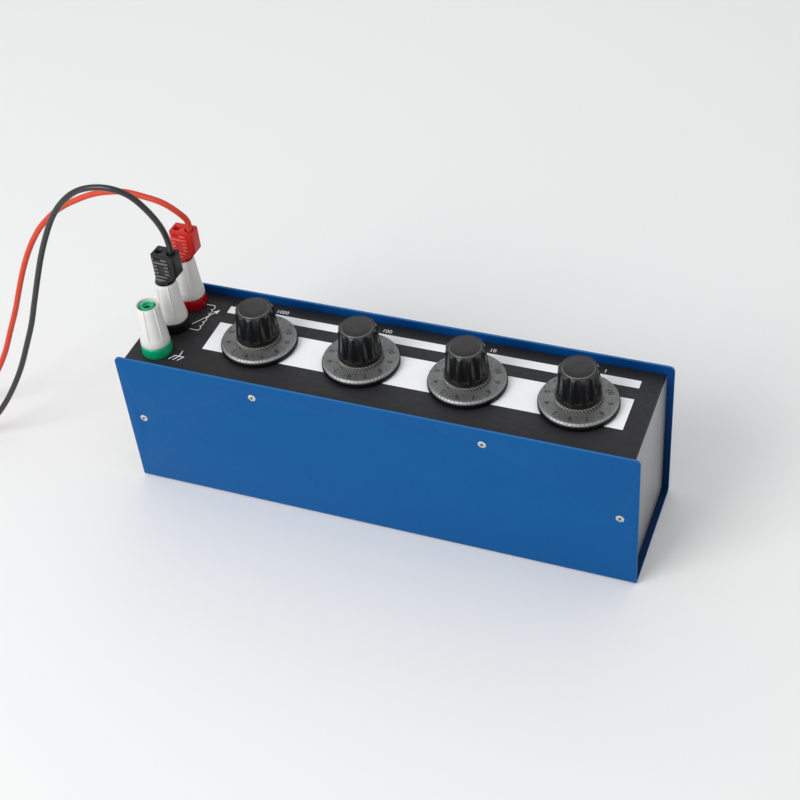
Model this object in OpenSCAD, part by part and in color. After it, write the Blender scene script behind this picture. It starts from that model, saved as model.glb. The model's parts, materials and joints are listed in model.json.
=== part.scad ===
// Inductance decade box: a blue folded cover round an aluminium chassis, with four
// dial knobs on rotary switches, three screw terminals and two stackable test leads.
// The box stands on z = 0 with its length along X, its front at -Y and its origin
// at the middle of its base.

/* [Case] */
// Length of the blue cover
box_l = 330; // [310:1:380]
// Depth of the blue cover, front to back
box_d = 82.5; // [80:0.5:100]
// Height of the blue cover
box_h = 102; // [96:1:130]
// Thickness of the cover's sheet
cover_t = 1.5; // [1:0.1:2]
// Outer radius of the cover's two bottom bends
bend_r = 2.4; // [2.2:0.1:4]
// Radius of the cover's upper corners
corner_r = 3.4; // [1:0.1:6]
// How far the cover runs past the chassis at the right end
end_recess = 4.2; // [2:0.1:7]
// How far the cover runs past the chassis at the left end
left_recess = 1.4; // [1:0.1:7]
// How far the cover stands above the panel
panel_recess = 5.6; // [2:0.1:8]
// Thickness of the chassis sheet
chassis_t = 1.5; // [1.2:0.1:2]
// Thickness of the black panel overlay
overlay_t = 0.4; // [0.2:0.1:0.8]
// Slip gap between the chassis and the cover
case_gap = 0.15; // [0.05:0.05:0.3]
// Width of the chassis flanges that take the screws
flange_w = 14; // [12:0.5:18]

/* [Cover screws] */
// Shank radius of a cover screw
screw_r = 1.45; // [1.2:0.05:1.6]
// Head radius of a cover screw
screw_head_r = 2.5; // [2.3:0.05:2.9]
// Length of a cover screw
screw_l = 7; // [6:0.5:9]
// Distance of the end screws from the ends of the cover
screw_end = 10.8; // [9.5:0.1:14]
// Height of the end screws
screw_mid_z = 53.7; // [45:0.1:60]
// Distance of the upper screws below the cover's top edge
screw_top_drop = 11.1; // [10.9:0.1:13]
// Distance of the upper screws from the middle of the box
screw_top_x = 72.8; // [60:0.1:85]

/* [Dials] */
// Width of the panel's left end, kept for the terminals
terminal_field = 45.4; // [42:0.1:52]
// Width of the panel's right end, beyond the fields of the dials
right_field = 13; // [8:0.1:24]
// Distance of the dials behind the middle of the box
dial_y = 1; // [-2:0.1:3]
// Radius of a dial plate
plate_r = 23.5; // [21:0.1:25]
// Height of a dial plate's rim above the panel
plate_rim_z = 3.6; // [3.2:0.1:4.4]
// Width and height of the bevel round a dial plate
plate_bevel = 1.6; // [1:0.1:2]
// Thickness of a dial plate
plate_t = 1; // [0.8:0.1:1.3]
// How far the black skirt under a dial plate stands out beyond it
skirt_out = 0.8; // [0.3:0.1:1.5]
// Running gap between the skirt and the panel
skirt_gap = 0.7; // [0.4:0.1:1.2]
// Height of the knob's seat on the dial plate above the panel
knob_seat_z = 7.9; // [7.4:0.1:9]
// Radius of a knob at its foot
knob_r = 13.4; // [12.5:0.1:14.5]
// Radius of a knob at its top
knob_top_r = 11.8; // [11:0.1:12.4]
// Height of a knob
knob_h = 20.1; // [18:0.1:24]
// Height of the plain band round a knob's foot
knob_band_h = 2.7; // [2:0.1:4]
// Number of flutes round a knob
knob_flutes = 12; // [10:1:16]
// Depth of a knob's flutes
knob_flute_d = 1; // [0.5:0.1:1.2]
// Radius of the cap in the top of a knob
knob_cap_r = 10; // [9:0.1:10.4]

/* [Switches] */
// Radius of a switch shaft
shaft_r = 3; // [2.5:0.1:3.2]
// Radial running clearance of a shaft in its bush
shaft_gap = 0.05; // [0.02:0.01:0.1]
// Radius of a switch bush
bush_r = 4.75; // [4.5:0.05:5]
// Height of a switch bush above the panel
bush_top = 4.8; // [4:0.1:5]
// Radius of the round detent housing
index_r = 12.5; // [11.5:0.1:15]
// Height of the detent housing
index_h = 8; // [7:0.1:10]
// Radius of a switch wafer
wafer_r = 18; // [17:0.1:19]
// Thickness of a switch wafer
wafer_t = 1.6; // [1.2:0.1:2]
// Free height between the detent housing's plate and each wafer
wafer_space = 13; // [12:0.5:15]
// Distance of the tie bolts from the shaft
tie_y = 20.5; // [20:0.1:22]

/* [Inductors] */
// Drop of the component board's top face below the chassis plate
board_drop = 48; // [47:0.5:52]
// Width of the component board
board_w = 68; // [66:1:72]
// Thickness of the component board
board_t = 1.6; // [1.2:0.1:2.4]
// Distance of the pillars' middles from the board's long edges
pillar_inset = 4; // [3.7:0.1:6]
// Half the spacing of the inductors in one decade
core_off = 15.5; // [15.2:0.1:16.5]
// Radius of the largest inductor
core_r = 14.5; // [12:0.1:15]
// Step in radius from one decade's inductors to the next
core_step = 1.4; // [0.5:0.1:2]

/* [Terminals] */
// Distance of the terminals from the left end of the cover
post_inset = 19.55; // [17:0.05:22]
// Distance of the middle terminal behind the middle of the box
post_y = 2.7; // [0:0.1:4]
// Distance of the back terminal from the back of the cover
post_margin = 13.95; // [12.5:0.05:16]
// Radius of a terminal's coloured collar
collar_r = 9.6; // [9.4:0.1:10.2]
// Height of a terminal's coloured collar
collar_h = 7.3; // [5:0.1:8]
// Radius of a terminal's metal stem
stem_r = 3.9; // [3.6:0.05:4]
// Radius of the 4 mm socket
socket_r = 2.03; // [2.02:0.01:2.06]
// Depth of the 4 mm socket
socket_d = 20; // [18:0.5:21]
// Radius of a terminal's white head at its foot
head_r = 9.2; // [8.8:0.1:9.4]
// Radius of a terminal's white head at the top of its ridges
head_top_r = 7.3; // [7.1:0.1:7.8]
// Radius of the round rim at the top of a terminal's head
head_rim_r = 6.9; // [6.7:0.1:7.1]
// Height of the top of a terminal's head above the panel
head_top = 36.4; // [33:0.1:39]
// Number of flutes round a head
head_flutes = 6; // [5:1:8]
// Depth of a head's flutes
head_flute_d = 1.2; // [0.9:0.1:1.4]

/* [Test leads] */
// Radius of a plug's pin
pin_r = 1.98; // [1.95:0.01:1.99]
// Free length of a plug's pin
pin_l = 19; // [16:0.5:19.5]
// Height of a plug's housing
plug_h = 22.3; // [21:0.1:26]
// Thickness of a plug's housing
plug_t = 10; // [9.5:0.1:11]
// Radius of the round foot of a plug's housing
plug_foot_r = 5.8; // [5.6:0.1:6.4]
// Radius of a plug's pin inside its housing
pin_root_r = 2.6; // [2.3:0.1:3]
// Distance from a plug's pin to its lead
lead_off = 8.5; // [8:0.1:9]
// Radius of a lead
lead_r = 1.9; // [1.6:0.1:2.2]

/* [Hidden] */
$fn = 48;
// Overlap that makes a cut run clear of a face
e = 0.01;
// Clearance between pieces that seat in one another
fit = 0.05;
// Clearance between curved faces that move past each other
free = 0.3;

// Levels
panel_z = box_h - panel_recess;
plate_top = panel_z - overlay_t;
under_z = plate_top - chassis_t;
// Chassis
chassis_l = box_l - end_recess - left_recess;
chassis_x = (left_recess - end_recess) / 2;
chassis_d = box_d - 2 * cover_t - 2 * case_gap;
chassis_foot = cover_t + case_gap;
chassis_bend = 2;
end_in = chassis_l / 2 - chassis_t;
side_in = chassis_d / 2 - chassis_t;
flange_relief = 2;
overlay_margin = 1.2;
// Cover screws
hole_r = screw_r + 0.15;
sink_h = screw_head_r - screw_r;
nut_r = 3;
nut_l = 3;
lip_h = screw_top_drop - panel_recess - overlay_t - chassis_t + nut_r + 4;
// Switches
plate_sheet = 1.2;
shaft_bore_r = shaft_r + shaft_gap;
bush_hole_r = bush_r + 0.15;
tie_r = 1.5;
tie_nut_r = 2.9;
tie_nut_h = 2.4;
ear_w = 8;
spacer_r = 3;
wafer_hole_r = 10;
rotor_r = 9.6;
star_r = 9.5;
frame_z = under_z - plate_sheet;
wafer_z = [frame_z - index_h - wafer_space, frame_z - index_h - 2 * wafer_space - wafer_t];
shaft_foot = wafer_z[1] - wafer_t - 2;
shaft_top = panel_z + knob_seat_z + knob_h - 5;
contact_r = 17.4;
contact_l = 8.4;
contact_t = 0.4;
contact_lift = 0.3;
panel_nut_r = 6.9;
panel_nut_h = 2.4;
// Dials
dial_pitch = (box_l - terminal_field - right_field) / 4;
dial_row_x = (terminal_field - right_field) / 2;
hub_boss_r = 5.6;
hub_hole_r = hub_boss_r + 0.2;
collet_r = 6;
cap_t = 1.5;
flute_turn = [21.5, 17.5, 15, 14.5];
// Inductors
board_z = under_z - board_drop;
board_end = 34;
pillar_y = board_w / 2 - pillar_inset;
pillar_r = 3.2;
core_wall = 2.2;
bolt_r = 1.45;
bolt_head_r = 2.8;
bolt_head_h = 1.9;
// Terminals
post_x = -box_l / 2 + post_inset;
post_pitch = box_d / 2 - post_margin - post_y;
stem_up = head_top - 4;
stem_down = 16;
spigot_r = 5.9;
insulator_r = 8.6;
insulator_t = 2;
post_nut_r = 7;
post_nut_h = 2.6;
tag_t = 0.8;
washer_r = 6;
washer_t = 1.5;
head_bore_r = stem_r + free;
head_foot = collar_h + free;
insert_r = 5.7;
insert_deep = 3.5;
tag_z = under_z - insulator_t - post_nut_h - tag_t;
tag_reach = 12.5;
wire_r = 0.7;
wire_seat = wire_r + fit;
wire_drop = 6;
wire_lane = 35;
// Test leads
plug_z = panel_z + head_top + 0.1;
plug_left = -3.9;
plug_right = 12.4;
plug_shoulder = 9.8;
plug_turn = [0, -3.2, -0.9];
root_h = 4.2;
lead_seat = 3;
rib_pitch = 2.6;
bore_gap = pin_root_r + 0.02;
stack_d = plug_h - root_h - 1.3;
coil_r = 20;
wire_d = 2 * lead_r;
coil_in = coil_r - 2 * wire_d - 0.4;
coil_out = coil_r + 2 * wire_d + 0.2;
coil_h = 2 * wire_d + 0.1;
black_coil_at = [-322, -68];
red_coil_at = [-350, 11];
black_route = [lead_out(1), lead_out(1) + [0, 0, 11.8], [-138.5, -0.2, 177.2], [-143.7, -3, 190],
    [-152.5, -4.4, 199.4], [-163.5, -6.4, 203.9], [-175.8, -7.7, 203.2], [-187.4, -8.4, 198.4],
    [-198, -9.4, 189.4], [-206.4, -10.4, 178.4], [-213.8, -11.5, 164.5], [-221, -13, 148],
    [-227, -15, 131], [-233, -17, 113], [-239, -19, 95], [-246, -22, 77], [-253, -25, 60],
    [-261, -29, 44], [-271, -33, 28], [-282, -37, 15], [-295, -40, 7], [-307, -42, 3.1]];
black_tail = [[-341.5, -46.1, 5.9], [-349, -46, plug_foot_r], [-357, -46, plug_foot_r]];
red_route = [lead_out(2), lead_out(2) + [0, 0, 9.8], [-141.1, 22.9, 172], [-148.5, 20.6, 178.4],
    [-159.5, 19.6, 181.4], [-171.8, 19.3, 182.7], [-184.4, 19.6, 180.4], [-197, 19.9, 176.1],
    [-209.4, 18.7, 170.3], [-220.7, 17.3, 163.7], [-231, 16, 155], [-240, 14, 145],
    [-248, 11, 132], [-255, 8, 117], [-261, 5, 101], [-267, 2, 84], [-274, -1, 67], [-281, -4, 50],
    [-289, -7, 35], [-299, -10, 21], [-310, -12, 11], [-323, -14, 5], [-335, -14.7, 2.6]];
red_tail = [[-369.5, -10.9, 5.9], [-378, -11, plug_foot_r], [-386, -11, plug_foot_r]];

function dial_x(i) = dial_row_x + (i - 1.5) * dial_pitch;
function pillar_x(i) = dial_row_x + (i - 1) * dial_pitch;
function post_at(i) = [post_x, post_y + (i - 1) * post_pitch, panel_z];
function lead_out(i) = [post_x + lead_off * cos(plug_turn[i]),
    post_at(i)[1] + lead_off * sin(plug_turn[i]), plug_z + plug_h - lead_seat];

// Repeats a cover screw's place, its axis along Z into the box, at all eight places
module at_cover_screws() {
    for (side = [0, 1], x = [-1, 1]) mirror([0, side, 0]) {
        translate([x * (box_l / 2 - screw_end), -box_d / 2, screw_mid_z]) rotate([-90, 0, 0]) children();
        translate([x * screw_top_x, -box_d / 2, box_h - screw_top_drop]) rotate([-90, 0, 0]) children();
    }
}

module at_dials() {
    for (i = [0 : 3]) translate([dial_x(i), dial_y, 0]) children();
}

module at_posts() {
    for (i = [0 : 2]) translate(post_at(i)) children();
}

module at_pillars() {
    for (i = [0 : 2], side = [-1, 1]) translate([pillar_x(i), side * pillar_y, 0]) children();
}

// A ring or a tube: outer radius, bore radius and height, standing on z = 0
module ring(r, bore, h, sides = 48) {
    difference() {
        cylinder(r = r, h = h, $fn = sides);
        translate([0, 0, -1]) cylinder(r = bore, h = h + 2);
    }
}

// A square-topped outline with two round lower corners, standing on y = 0
module tray_outline(w, h, r) {
    translate([-w / 2, r]) square([w, h - r]);
    translate([-w / 2 + r, 0]) square([w - 2 * r, r + e]);
    for (x = [-1, 1]) translate([x * (w / 2 - r), r]) circle(r);
}

// The section of a folded channel of sheet t, open at the top
module channel_outline(w, h, t, r) {
    difference() {
        tray_outline(w, h, r);
        translate([0, t]) tray_outline(w - 2 * t, h, max(r - t, 0.2));
    }
}

// Parallel frames along a route, then one ring of points for each
function unit(v) = v / norm(v);
function leg(p, i) = unit(p[i + 1] - p[i]);
function tangent(p, i) = unit(leg(p, min(i, len(p) - 2)) + leg(p, max(i - 1, 0)));
// Each corner of a route cut back by d on both sides
function eased(p, d) = concat([p[0]],
    [for (i = [1 : len(p) - 2]) each [p[i] - d * leg(p, i - 1), p[i] + d * leg(p, i)]], [p[len(p) - 1]]);
function sides_of(p) = [for (i = 0, s = unit(cross(tangent(p, 0), [1, 0, 0.01])); i < len(p);
    i = i + 1, s = i < len(p) ? unit(s - (s * tangent(p, i)) * tangent(p, i)) : s) s];
module tube(p, r, n = 8) {
    s = sides_of(p);
    points = [for (i = [0 : len(p) - 1], k = [0 : n - 1])
        p[i] + r * (cos(360 * k / n) * s[i] + sin(360 * k / n) * cross(tangent(p, i), s[i]))];
    last = (len(p) - 1) * n;
    faces = concat([[for (k = [0 : n - 1]) k]], [[for (k = [n - 1 : -1 : 0]) last + k]],
        [for (i = [0 : len(p) - 2], k = [0 : n - 1]) each [
            [i * n + (k + 1) % n, i * n + k, (i + 1) * n + k],
            [i * n + (k + 1) % n, (i + 1) * n + k, (i + 1) * n + (k + 1) % n]]]);
    polyhedron(points, faces, convexity = 6);
}

// CASE

module outer_cover() {
    color([0.12, 0.36, 0.62])
    difference() {
        intersection() {
            rotate([90, 0, 90]) linear_extrude(box_l, center = true)
                channel_outline(box_d, box_h, cover_t, bend_r);
            rotate([90, 0, 0]) linear_extrude(box_d + 2, center = true)
                translate([0, box_h]) mirror([0, 1]) tray_outline(box_l, box_h + 1, corner_r);
        }
        at_cover_screws() {
            translate([0, 0, -1]) cylinder(r = hole_r, h = cover_t + 2);
            translate([0, 0, -e]) cylinder(r1 = screw_head_r + fit, r2 = hole_r, h = sink_h);
        }
    }
}

// An inverted channel whose ends are the grey end walls, with lips and flanges for the screws
module chassis() {
    color([0.62, 0.63, 0.65])
    difference() {
        translate([chassis_x, 0, 0]) {
            rotate([90, 0, 0]) linear_extrude(chassis_d, center = true)
                translate([0, plate_top]) mirror([0, 1])
                    channel_outline(chassis_l, plate_top - chassis_foot, chassis_t, chassis_bend);
            for (side = [-1, 1]) {
                lip_l = 2 * (end_in - flange_w - flange_relief);
                sheet_y = side * (chassis_d / 2 - chassis_t / 2) - chassis_t / 2;
                translate([-lip_l / 2, sheet_y, under_z - lip_h])
                    cube([lip_l, chassis_t, lip_h + chassis_t / 2]);
                for (x = [-1, 1])
                    translate([x * (end_in + 0.5 - flange_w / 2) - flange_w / 2, sheet_y, chassis_foot])
                        cube([flange_w, chassis_t, under_z - chassis_foot - flange_relief]);
            }
        }
        at_cover_screws() cylinder(r = hole_r, h = cover_t + case_gap + chassis_t + 1);
        at_dials() translate([0, 0, under_z - 1]) cylinder(r = bush_hole_r, h = chassis_t + 2);
        at_posts() translate([0, 0, -overlay_t - chassis_t - 1])
            cylinder(r = spigot_r + 0.1, h = chassis_t + 2);
    }
}

module panel_overlay() {
    color([0.13, 0.13, 0.14])
    difference() {
        translate([chassis_x, 0, plate_top + overlay_t / 2])
            cube([chassis_l - 2 * overlay_margin, chassis_d - overlay_margin, overlay_t], center = true);
        at_dials() translate([0, 0, plate_top - 1]) cylinder(r = bush_hole_r, h = overlay_t + 2);
        at_posts() translate([0, 0, -overlay_t - 1]) cylinder(r = spigot_r + 0.1, h = overlay_t + 2);
    }
}

// Countersunk screws with a shallow crown and a cross recess
module cover_screws() {
    color([0.8, 0.8, 0.82])
    at_cover_screws() difference() {
        union() {
            cylinder(r1 = screw_head_r, r2 = screw_r, h = sink_h);
            cylinder(r = screw_r, h = screw_l);
            rotate([180, 0, 0]) cylinder(r1 = screw_head_r, r2 = screw_head_r - 0.8, h = 0.25);
        }
        for (a = [0, 90]) rotate(a + 25) translate([-1.4, -0.3, -1]) cube([2.8, 0.6, 1.9]);
    }
}

module clinch_nuts() {
    color([0.7, 0.7, 0.72])
    at_cover_screws() translate([0, 0, cover_t + case_gap + chassis_t]) ring(nut_r, hole_r, nut_l);
}

// SWITCHES

// Bush, front plate and detent housing of each switch, staked into one
module switch_frames() {
    color([0.72, 0.71, 0.68])
    at_dials() difference() {
        union() {
            translate([0, 0, frame_z]) cylinder(r = index_r, h = plate_sheet);
            translate([-ear_w / 2, -tie_y - ear_w / 2, frame_z])
                cube([ear_w, 2 * tie_y + ear_w, plate_sheet]);
            translate([0, 0, frame_z]) cylinder(r = bush_r, h = panel_z + bush_top - frame_z);
            translate([0, 0, frame_z - index_h]) ring(index_r, index_r - 1.2, index_h + e);
            translate([0, 0, frame_z - index_h]) cylinder(r = index_r, h = plate_sheet);
        }
        translate([0, 0, frame_z - index_h - 1])
            cylinder(r = shaft_bore_r, h = panel_z + bush_top - frame_z + index_h + 2);
        for (side = [-1, 1]) translate([0, side * tie_y, frame_z - 1])
            cylinder(r = tie_r + fit, h = plate_sheet + 2);
    }
}

module panel_nuts() {
    color([0.78, 0.77, 0.74])
    at_dials() translate([0, 0, panel_z]) ring(panel_nut_r, bush_r + fit, panel_nut_h, 6);
}

module switch_spacers() {
    color([0.75, 0.75, 0.76])
    at_dials() for (side = [-1, 1]) translate([0, side * tie_y, 0]) {
        translate([0, 0, wafer_z[0]]) ring(spacer_r, tie_r + fit, frame_z - wafer_z[0]);
        translate([0, 0, wafer_z[1]]) ring(spacer_r, tie_r + fit, wafer_z[0] - wafer_t - wafer_z[1]);
    }
}

module switch_wafers() {
    color([0.55, 0.36, 0.2])
    at_dials() for (z = wafer_z) translate([0, 0, z - wafer_t]) difference() {
        union() {
            cylinder(r = wafer_r, h = wafer_t);
            translate([-ear_w / 2, -tie_y - ear_w / 2, 0]) cube([ear_w, 2 * tie_y + ear_w, wafer_t]);
        }
        translate([0, 0, -1]) cylinder(r = wafer_hole_r, h = wafer_t + 2);
        for (side = [-1, 1]) translate([0, side * tie_y, -1]) cylinder(r = tie_r + fit, h = wafer_t + 2);
    }
}

// Contact clips round each wafer: an eyelet block on the wafer and a blade over the rotor
module wafer_contacts() {
    color([0.85, 0.8, 0.6])
    at_dials() for (z = wafer_z, a = [0 : 11]) translate([0, 0, z]) rotate(15 + 30 * a) {
        translate([contact_r - contact_l, -0.8, contact_lift]) cube([contact_l, 1.6, contact_t]);
        translate([contact_r - 5, -0.8, 0]) cube([5, 1.6, contact_lift + contact_t / 2]);
    }
}

module tie_bolts() {
    color([0.8, 0.8, 0.82])
    at_dials() for (side = [-1, 1]) translate([0, side * tie_y, 0]) {
        translate([0, 0, wafer_z[1] - wafer_t - tie_nut_h - 1])
            cylinder(r = tie_r, h = under_z - wafer_z[1] + wafer_t + tie_nut_h + 1 - 0.1);
        translate([0, 0, wafer_z[1] - wafer_t - tie_nut_h]) ring(tie_nut_r, tie_r + fit, tie_nut_h, 6);
    }
}

// Shaft with the detent star inside the housing and a rotor in each wafer
module switch_shaft(i) {
    color([0.8, 0.79, 0.76])
    translate([dial_x(i), dial_y, 0]) {
        translate([0, 0, shaft_foot]) cylinder(r = shaft_r, h = shaft_top - shaft_foot);
        translate([0, 0, frame_z - index_h + plate_sheet + 1.6]) difference() {
            cylinder(r = star_r, h = 2.6);
            for (a = [0 : 11]) rotate(30 * a) translate([star_r + 0.8, 0, -1]) cylinder(r = 1.7, h = 5);
        }
        for (z = wafer_z) translate([0, 0, z - wafer_t]) difference() {
            cylinder(r = rotor_r, h = wafer_t);
            translate([rotor_r - 2.4, -2, -1]) cube([4, 4, wafer_t + 2]);
        }
    }
}

// DIALS

// Spun dial plate: a flat face with a bevelled edge, a knurled wall up to the knob's
// seat, and a skirt under its edge
module dial_plate(i) {
    ring_r = knob_r + 0.45;
    face_z = plate_rim_z + plate_bevel;
    skirt_r = plate_r + skirt_out;
    skirt_top = plate_rim_z - 0.35;
    inner_r = plate_r - plate_t;
    color([0.72, 0.72, 0.73])
    translate([dial_x(i), dial_y, panel_z]) rotate_extrude($fn = 96) polygon([
        [hub_hole_r, knob_seat_z], [knob_r - 0.1, knob_seat_z], [ring_r - 0.2, knob_seat_z - 0.3],
        [ring_r, face_z], [plate_r - plate_bevel, face_z], [plate_r, plate_rim_z], [plate_r, skirt_top],
        [skirt_r - 0.3, skirt_top], [skirt_r, skirt_top - 0.3], [skirt_r, skirt_gap], [inner_r, skirt_gap],
        [inner_r, plate_rim_z - 0.6], [inner_r - plate_bevel + 0.6, face_z - plate_t],
        [ring_r - plate_t, face_z - plate_t], [ring_r - plate_t - 0.2, knob_seat_z - plate_t],
        [hub_hole_r, knob_seat_z - plate_t]]);
}

// Fluted black knob with a plain foot band, a boss under it and a recess for its cap.
// Every second flute is cut in one step, because neighbouring cutters meet each other.
module knob(i) {
    color([0.07, 0.07, 0.08])
    translate([dial_x(i), dial_y, panel_z]) difference() {
        difference() {
            knob_blank();
            rotate(flute_turn[i]) knob_cutters(0);
        }
        rotate(flute_turn[i]) knob_cutters(1);
    }
}
module knob_blank() {
    foot = knob_seat_z;
    top = knob_seat_z + knob_h;
    rotate_extrude($fn = 96) polygon([
        [shaft_r + 0.02, bush_top + 0.5], [hub_boss_r, bush_top + 0.5], [hub_boss_r, foot],
        [knob_r - 0.5, foot], [knob_r, foot + 0.5], [knob_r, foot + knob_band_h],
        [knob_top_r, top - 0.8], [knob_top_r - 0.7, top], [knob_cap_r + 0.12, top],
        [knob_cap_r + 0.12, top - cap_t], [collet_r, top - cap_t], [collet_r, top - 4.6],
        [shaft_r + 0.02, top - 4.6]]);
}
module knob_cutters(first) {
    flute_r = 4.4;
    above = 0.3;
    rise = knob_h - knob_band_h;
    lean = atan((knob_r - knob_top_r) / (rise - 0.8));
    for (a = [first : 2 : knob_flutes - 1]) rotate(a * 360 / knob_flutes)
        translate([knob_r + flute_r - knob_flute_d, 0, knob_seat_z + knob_band_h + above])
            rotate([0, -lean, 0]) cylinder(r = flute_r, h = rise + 0.4, $fn = 64);
}
module knob_cap(i) {
    top = knob_seat_z + knob_h;
    color([0.1, 0.1, 0.11])
    translate([dial_x(i), dial_y, panel_z]) rotate_extrude($fn = 96) polygon([
        [0, top - 3.6], [collet_r - fit, top - 3.6], [collet_r - fit, top - cap_t], [knob_cap_r, top - cap_t],
        [knob_cap_r, top + 0.1], [knob_cap_r - 0.4, top + 0.35], [0, top + 0.35]]);
}

// INDUCTORS

module coil_board() {
    color([0.62, 0.5, 0.25])
    difference() {
        translate([dial_x(0) - board_end, -board_w / 2, board_z - board_t])
            cube([3 * dial_pitch + 2 * board_end, board_w, board_t]);
        at_pillars() translate([0, 0, board_z - board_t - 1]) cylinder(r = bolt_r + 0.15, h = board_t + 2);
        at_cores() translate([0, 0, board_z - board_t - 1]) cylinder(r = bolt_r + 0.15, h = board_t + 2);
    }
}

module at_cores() {
    for (i = [0 : 3], sx = [-1, 1], sy = [-1, 1])
        translate([dial_x(i) + sx * core_off, dial_y + sy * core_off, 0]) {
            $core_r = core_r - i * core_step;
            $core_h = 1.2 * $core_r;
            children();
        }
}

module board_pillars() {
    color([0.78, 0.77, 0.72])
    at_pillars() translate([0, 0, board_z]) ring(pillar_r, bolt_r + fit, board_drop, 6);
}

// Pan-head screws: under the board into the pillars, and up through each pot core to a nut
module board_screws() {
    color([0.8, 0.8, 0.82]) {
        at_pillars() translate([0, 0, board_z - board_t - bolt_head_h]) {
            cylinder(r = bolt_head_r, h = bolt_head_h);
            cylinder(r = bolt_r, h = bolt_head_h + board_t + 8);
        }
        at_cores() {
            translate([0, 0, board_z - board_t - $core_h - bolt_head_h]) {
                cylinder(r = bolt_head_r, h = bolt_head_h);
                cylinder(r = bolt_r, h = bolt_head_h + $core_h + board_t + 3.4);
            }
            translate([0, 0, board_z]) ring(3, bolt_r + fit, 2.4, 6);
        }
    }
}

// Ferrite pot cores: closed cups with a centre post and two wire slots
module pot_cores() {
    color([0.2, 0.2, 0.22])
    at_cores() translate([0, 0, board_z - board_t - $core_h]) difference() {
        cylinder(r = $core_r, h = $core_h);
        translate([0, 0, core_wall]) difference() {
            cylinder(r = $core_r - core_wall, h = $core_h - 2 * core_wall);
            translate([0, 0, -1]) cylinder(r = $core_r * 0.42, h = $core_h);
        }
        for (side = [-1, 1]) translate([side * ($core_r - 1.5) - 2.5, -2, core_wall])
            cube([5, 4, $core_h - 2 * core_wall]);
        translate([0, 0, -1]) cylinder(r = bolt_r + 0.15, h = $core_h + 2);
    }
}

module coil_windings() {
    color([0.72, 0.4, 0.2])
    at_cores() translate([0, 0, board_z - board_t - $core_h + core_wall + 0.05])
        ring($core_r - core_wall - 0.8, $core_r * 0.42 + 0.05, $core_h - 2 * core_wall - 0.1);
}

// WIRING

// Where a wire is soldered: on a contact clip, and under a terminal's tag
function contact(i, level, a) =
    [dial_x(i) + (contact_r - 1) * cos(a), dial_y + (contact_r - 1) * sin(a),
        wafer_z[level] + contact_lift + contact_t + wire_seat];
function tag_end(i) = [post_x + tag_reach - 1, post_at(i)[1], tag_z - wire_seat];

// Links from switch to switch, and from the terminals to the first switch, the last and the case
module link_wires() {
    low = tag_z - wire_seat - wire_drop;
    first = contact(0, 0, 195);
    last = contact(3, 0, 45);
    color([0.8, 0.72, 0.3]) {
        for (i = [0 : 2]) tube([contact(i, 1, -15), contact(i + 1, 1, 195)], wire_r, 6);
        wire([tag_end(1), tag_end(1) + [4, 0, -wire_drop], [first[0], first[1], low], first]);
        wire([tag_end(2), tag_end(2) + [4, 0, -wire_drop], [post_x + 2 * tag_reach, wire_lane, low],
            [last[0], wire_lane, low], [last[0], last[1], low], last]);
        earth = [tag_end(0)[0] + 3, -side_in + wire_seat, tag_z - wire_drop];
        wire([tag_end(0), tag_end(0) + [3, -6, -4], earth]);
    }
}
module wire(points) { tube(eased(points, 1.5), wire_r, 6); }

// TERMINALS

module collar(i) {
    translate(post_at(i)) {
        rotate_extrude($fn = 64) difference() {
            union() {
                translate([0, -overlay_t - chassis_t]) square([spigot_r, overlay_t + chassis_t + 1]);
                polygon([[0, 0], [collar_r - 0.5, 0], [collar_r, 0.5], [collar_r - 0.3, collar_h - 1],
                    [collar_r - 0.55, collar_h - 0.4], [collar_r - 1.1, collar_h], [0, collar_h]]);
            }
            translate([-1, -5]) square([stem_r + fit + 1, collar_h + 10]);
        }
    }
}
module green_collar() { color([0, 0.5, 0.33]) collar(0); }
module black_collar() { color([0.06, 0.06, 0.07]) collar(1); }
module red_collar() { color([0.5, 0, 0.06]) collar(2); }

module post_insulators() {
    color([0.9, 0.88, 0.82])
    at_posts() translate([0, 0, under_z - panel_z - insulator_t])
        ring(insulator_r, stem_r + fit, insulator_t);
}

// Plated brass stem: a blind 4 mm socket from the top and a cross hole for a bare wire
module post_stems() {
    color([0.85, 0.83, 0.75])
    at_posts() difference() {
        translate([0, 0, under_z - panel_z - stem_down])
            cylinder(r = stem_r, h = panel_z - under_z + stem_down + stem_up);
        translate([0, 0, stem_up - socket_d]) cylinder(r = socket_r, h = socket_d + 1);
        translate([0, 0, collar_h + 1.9]) rotate([0, 90, 0])
            cylinder(r = 1, h = 2 * collar_r, center = true, $fn = 24);
    }
}

module post_nuts() {
    color([0.8, 0.8, 0.78])
    at_posts() for (z = [under_z - panel_z - insulator_t - post_nut_h,
        tag_z - panel_z - post_nut_h])
        translate([0, 0, z]) ring(post_nut_r, stem_r + fit, post_nut_h, 6);
}

module solder_tags() {
    color([0.85, 0.82, 0.7])
    at_posts() translate([0, 0, tag_z - panel_z]) difference() {
        union() {
            cylinder(r = 5.6, h = tag_t);
            translate([0, -1.8, 0]) cube([tag_reach, 3.6, tag_t]);
        }
        translate([0, 0, -1]) cylinder(r = stem_r + fit, h = tag_t + 2);
        translate([tag_reach - 2.6, 0, -1]) cylinder(r = 0.9, h = tag_t + 2, $fn = 24);
    }
}

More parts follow.
